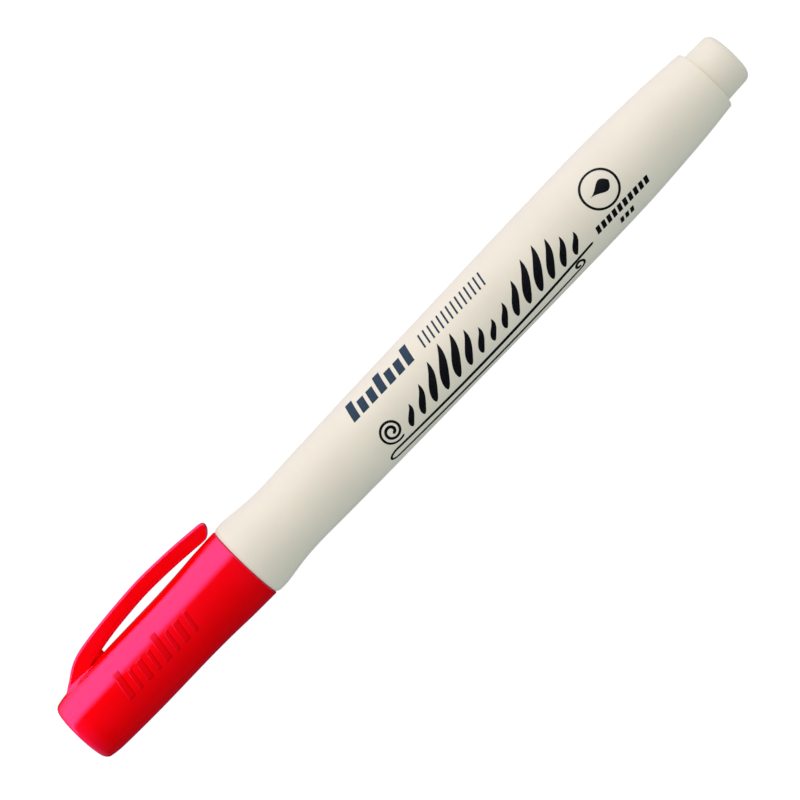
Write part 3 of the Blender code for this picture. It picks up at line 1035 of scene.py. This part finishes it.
def underline(radius_at, ink):
    """A tapered underline that runs back below the dabs, turns, and ends in a curl at the right."""
    start, back_length, forth_length = Vector((105.4, -5.0)), 42.2, 38.4
    sag, thin, swell = 0.9, 0.4, 0.2
    bend_width, bend_height = 1.5, 0.75
    curl_size, curl_sweep_deg = 0.95, 400
    path, widths = [], []
    for k in range(120):
        share = k / 119
        path.append(start - Vector((back_length * share, sag * math.sin(math.pi * share * 0.9))))
        widths.append(thin + swell * math.sin(math.pi * share))
    left = path[-1]
    for k in range(1, 24):
        turn = math.pi * k / 24
        path.append(left - Vector((bend_width * math.sin(turn), bend_height * (1 - math.cos(turn)))))
        widths.append(thin)
    lower_left = left - Vector((0, 2 * bend_height))
    for k in range(120):
        share = k / 119
        path.append(lower_left + Vector((forth_length * share, -sag * math.sin(math.pi * share * 0.8))))
        widths.append(thin + swell * math.sin(math.pi * share))
    curl_centre = path[-1] + Vector((0, curl_size))
    for k in range(1, 40):
        share = k / 40
        turn = math.radians(-90 + curl_sweep_deg * share)
        size = curl_size * (1 - 0.75 * share)
        path.append(curl_centre + size * Vector((1.2 * math.cos(turn), math.sin(turn))))
        widths.append(thin + 0.1 * share)
    grid = stroke(path, round_ends(path, widths), columns=3)
    add_print("print_underline", [grid], radius_at, ink)


def ring_mark(radius_at, ink):
    """A plain ring round an ink drop, over two rows of dashes."""
    centre, radius, line, slant = Vector((111.5, 0.2)), 3.0, 0.38, 0.25
    circle = []
    for k in range(96):
        turn = math.tau * k / 96
        circle.append(centre + radius * Vector((math.cos(turn), math.sin(turn))))
    ring = stroke(circle, [line] * len(circle), columns=3, closed=True)
    drop_length, drop_width = 3.8, 2.7
    drop_path, drop_widths = [], []
    for k in range(41):
        share = k / 40
        drop_path.append(centre + Vector((drop_length * (share - 0.5), 0)))
        belly = math.sin(math.pi * share**1.6) ** 0.9 * (0.35 + 0.65 * share)
        drop_widths.append(max(0.04, drop_width * belly))
    drop = stroke(drop_path, drop_widths, columns=9)
    dashes = []
    for first_x, pitch, width, v_low, v_high, count in (
        (107.05, 1.13, 0.76, -4.75, -3.5, 10),
        (110.7, 1.05, 0.68, -6.8, -5.7, 3),
    ):
        for k in range(count):
            dashes.append(slanted_bar(first_x + pitch * k, width, v_low, v_high, slant, rows=6, columns=3))
    add_print("print_ring", [drop, *dashes], radius_at, ink, closed=[ring])


def raised_bars(radius_at, material):
    """A row of slanted bars moulded proud of the cap, broad and narrow in turn, with soft edges."""
    rows, columns, slant, sunk_edge = 40, 14, 0.18, 0.01
    v_low = -1.85
    parts = []
    for k in range(8):
        width = 1.25 if k % 2 == 0 else 0.8
        v_high = 2.75 if k % 4 == 0 else 1.6
        grid = slanted_bar(9.9 + 1.95 * k, width, v_low, v_high, slant, rows, columns)
        lifts = []
        for i in range(rows + 1):
            from_ends = min(i, rows - i) / rows * (v_high - v_low)
            line = []
            for j in range(columns):
                from_sides = min(j, columns - 1 - j) / (columns - 1) * width
                share = min(1.0, min(from_ends, from_sides) / EMBOSS_EDGE)
                line.append(EMBOSS_LIFT * share * share * (3 - 2 * share) - sunk_edge)
            lifts.append(line)
        parts.append(sheet(grid, lifts, radius_at, EMBOSS_SINK))
    obj = piece("cap_raised_bars", *merged(parts), material, "cap_red", sharp_deg=60)
    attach(obj, "cap")
    return obj


# ---------------------------------------------------------------- stage


def floor(z):
    """A pale floor under the pen, burnt out to white in the picture."""
    half = 3.0
    corners = [(-half, -half, z), (half, -half, z), (half, half, z), (-half, half, z)]
    mesh = bpy.data.meshes.new("floor")
    mesh.from_pydata(corners, [], [(0, 1, 2, 3)])
    obj = bpy.data.objects.new("floor", mesh)
    bpy.context.scene.collection.objects.link(obj)
    material, tree, shader = new_material("floor_white")
    tree.nodes.remove(shader)
    seen = add(tree, "ShaderNodeLightPath").outputs["Is Camera Ray"]
    share = ranged(tree, seen, 0, 1, 0, FLOOR_GLOW)
    matte = add(tree, "ShaderNodeBsdfDiffuse", {"Color": colour(0.78, 0.88, 0.92)}).outputs[0]
    glow = add(tree, "ShaderNodeEmission", {"Strength": 1.12}).outputs[0]
    both = add(tree, "ShaderNodeMixShader", {0: share, 1: matte, 2: glow}).outputs[0]
    connect(tree, both, tree.nodes["Material Output"].inputs["Surface"])
    mesh.materials.append(material)
    obj.visible_glossy = False


def softbox(name, place, aim, size, power, only=()):
    """A square area light for matte surfaces, on some pieces only if asked.

    Glossy surfaces don't see it: they see the studio's own gradient.
    """
    data = bpy.data.lights.new(name, "AREA")
    data.energy = power
    data.size = size
    obj = bpy.data.objects.new(name, data)
    obj.location = Vector(place)
    obj.rotation_euler = (Vector(aim) - Vector(place)).to_track_quat("-Z", "Y").to_euler()
    obj.visible_glossy = False
    obj.visible_camera = False
    bpy.context.scene.collection.objects.link(obj)
    if only:
        receivers = bpy.data.collections.new(name + "_receivers")
        for lit_piece in only:
            receivers.objects.link(lit_piece)
        obj.light_linking.receiver_collection = receivers


def studio():
    """White surroundings that light the clip's side more than the other.

    Matte surfaces see a soft gradient round the pen's axis. Glossy ones see one broad softbox on the
    clip's side, a paler wall past the cap's closed end, and a dim room elsewhere.
    """
    world = bpy.data.worlds.new("studio")
    bpy.context.scene.world = world
    world.use_nodes = True
    world.cycles.sampling_method = "NONE"
    tree = world.node_tree
    tree.nodes.clear()
    direction = add(tree, "ShaderNodeTexCoord").outputs["Generated"]
    x, y, z = add(tree, "ShaderNodeSeparateXYZ", {0: direction}).outputs
    # Round the pen's axis: 0 straight up, 90 degrees towards the clip
    angle = math_node(tree, "ARCTAN2", y, z)
    opening = around(tree, angle, 30, 47, 0, 1)
    closing = around(tree, angle, 100, 145, 1, 0.05)
    box = math_node(tree, "MULTIPLY", opening, closing)
    panel = mixed(tree, around(tree, angle, 64, 112, 0, 1), PANEL_NEAR, PANEL_FAR)
    room = mixed(tree, box, DIM_ROOM, panel)
    walled = mixed(tree, ranged(tree, x, -0.3, -0.85, 0, 0.25), room, END_WALL)
    glossy = mixed(tree, around(tree, angle, -150, -115, 0.25, 0), walled, UNDER_GLOW)
    matte = mixed(tree, around(tree, angle, -75, 90, 0, 1), SHADE_SIDE, LIT_SIDE)
    path = add(tree, "ShaderNodeLightPath")
    lit = mixed(tree, path.outputs["Is Glossy Ray"], matte, glossy)
    shown = mixed(tree, path.outputs["Is Camera Ray"], lit, colour(1, 1, 1))
    background = add(tree, "ShaderNodeBackground", {"Color": shown})
    output = add(tree, "ShaderNodeOutputWorld", {"Surface": background.outputs[0]})
    output.is_active_output = True


def around(tree, angle, low_deg, high_deg, to_low, to_high):
    """Maps a range of angles round the pen's axis to a range of values."""
    return ranged(tree, angle, math.radians(low_deg), math.radians(high_deg), to_low, to_high)


def lights(centre, cap_pieces):
    """A broad key on the clip's side, and a small light near the closed end that lifts the cap's red."""
    softbox("key_softbox", centre + Vector((0, 0.42, 0.40)), centre, size=0.5, power=0.66)
    cap_light, cap_aim = Vector((-0.05, 0.05, 0.07)), Vector((0.005, 0, 0))
    softbox("cap_softbox", cap_light, cap_aim, size=0.04, power=0.042, only=cap_pieces)


def camera():
    """The camera, straight above the pen."""
    data = bpy.data.cameras.new("camera")
    data.lens = CAMERA_LENS
    data.sensor_width = CAMERA_SENSOR
    obj = bpy.data.objects.new("camera", data)
    obj.location = (CAMERA_X * MM, 0, CAMERA_HEIGHT * MM)
    obj.rotation_euler = (0, 0, -math.radians(CAMERA_TURN_DEG))
    bpy.context.scene.collection.objects.link(obj)
    bpy.context.scene.camera = obj


# ---------------------------------------------------------------- the pen


def main():
    """Makes the materials, the pieces and the studio."""
    cream = moulded(
        "cream_plastic", CREAM, roughness=0.55, specular=0.26, mottle=0.025, grain=0.25, inside=0.15
    )
    red = moulded("red_plastic", RED, roughness=0.1, specular=1.0, tint=RED_SHEEN, grain=0.05)
    # The raised bars: a rougher, less glossy finish, and a darker red that is painted shade
    etched_painted_shade = moulded("red_etched_painted_shade", ETCHED_RED_PAINTED_SHADE, roughness=0.15, specular=0.3, tint=RED_SHEEN, grain=0.3)
    natural = moulded("natural_plastic", NATURAL, roughness=0.4, specular=0.7, mottle=0.03, inside=0.3)
    bristle = fibrous("bristle_fibre", BRISTLE, BRISTLE_PALE, roughness=0.35, strand=0.3)
    soaked = fibrous("soaked_fibre", SOAKED, SOAKED_PALE, roughness=0.8, strand=0.6)
    navy = printed("navy_ink", NAVY)
    black = printed("black_ink", BLACK)

    barrel_radius = barrel(cream)
    rear_plug(cream)
    holder(cream)
    fibre_bundle("brush_stem", "brush_root", bristle, "brush_fibre", flutes=36, depth=0.06)
    fibre_bundle("wick_fibres", "relay_wick", soaked, "ink_fibre", flutes=24, depth=0.05)
    fibre_bundle("reservoir_fibres", "ink_reservoir", soaked, "ink_fibre", flutes=64, depth=0.12)
    brush(bristle)
    skin, cap_radius = cap(red)
    inner_cap(natural)
    clip_pieces = clip(red, cap_radius)
    bars = raised_bars(cap_radius, etched_painted_shade)
    bar_row(barrel_radius, navy)
    brush_dabs(barrel_radius, black)
    underline(barrel_radius, black)
    ring_mark(barrel_radius, black)
    for node, material in (("nib_retainer", natural), ("reservoir_film", clear_film())):
        frame["nodes"][node].data.materials.clear()
        frame["nodes"][node].data.materials.append(material)

    floor(cad_box[0].z - FLOOR_GAP)
    studio()
    lights(Vector((CAMERA_X * MM, 0, 0)), [skin, *clip_pieces, bars])
    camera()
    bpy.context.scene.view_settings.view_transform = "Standard"


main()
